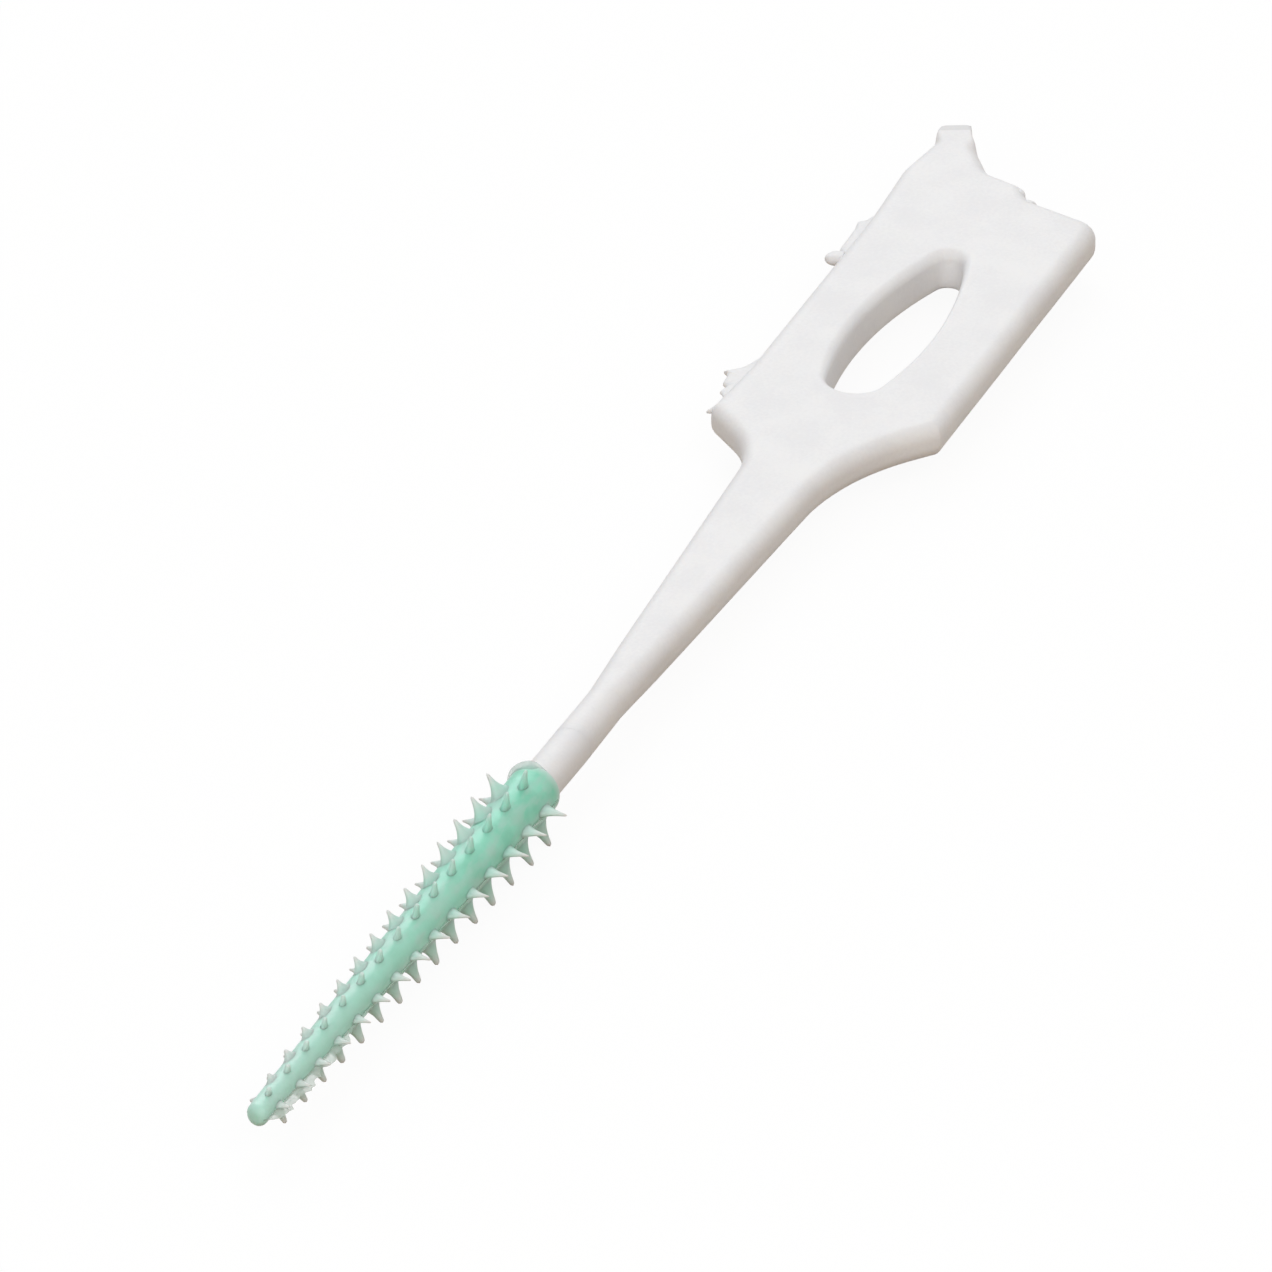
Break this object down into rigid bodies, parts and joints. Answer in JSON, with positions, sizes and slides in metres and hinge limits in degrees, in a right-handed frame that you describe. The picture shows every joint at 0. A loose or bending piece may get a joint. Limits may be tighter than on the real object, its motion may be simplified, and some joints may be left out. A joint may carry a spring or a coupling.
{
  "type": "interdental brush",
  "caption": "Slim disposable brush for cleaning between teeth: flat white handle plate with a finger hole, flexible neck and a tapering elastomer sleeve with soft thorns.",
  "frame": {"origin": "middle of the brush's bounding box in X and Y, at the level of its lowest thorns", "axes": "+X from the brush nose to the handle's end, +Y to the side of the handle plate that carries the moulding spur, +Z out of the plate's upper face"},
  "size_m": [0.0626, 0.0078, 0.0028],
  "materials": {
    "white_plastic": "fine matte moulded surface",
    "mint_elastomer": "soft satin elastomer, slightly translucent"
  },
  "bodies": {
    "handle": {"handle": "white_plastic"},
    "neck": {"flex_neck": "white_plastic"},
    "brush": {"core_spine": "white_plastic", "bristle_sleeve": "mint_elastomer"}
  },
  "joints": [
    {"name": "neck_side_bend", "type": "hinge", "parent": "handle", "child": "neck", "pos_m": [-0.00838, -0.00021, 0.00138], "axis": [0, 0, 1], "range_deg": [-30, 30], "stiffness_Nm_per_rad": 0.01, "deforming": ["flex_neck"]},
    {"name": "neck_lift_bend", "type": "hinge", "parent": "neck", "child": "brush", "pos_m": [-0.00838, -0.00021, 0.00138], "axis": [0, 1, 0], "range_deg": [-30, 30], "stiffness_Nm_per_rad": 0.01, "deforming": ["flex_neck"]}
  ]
}
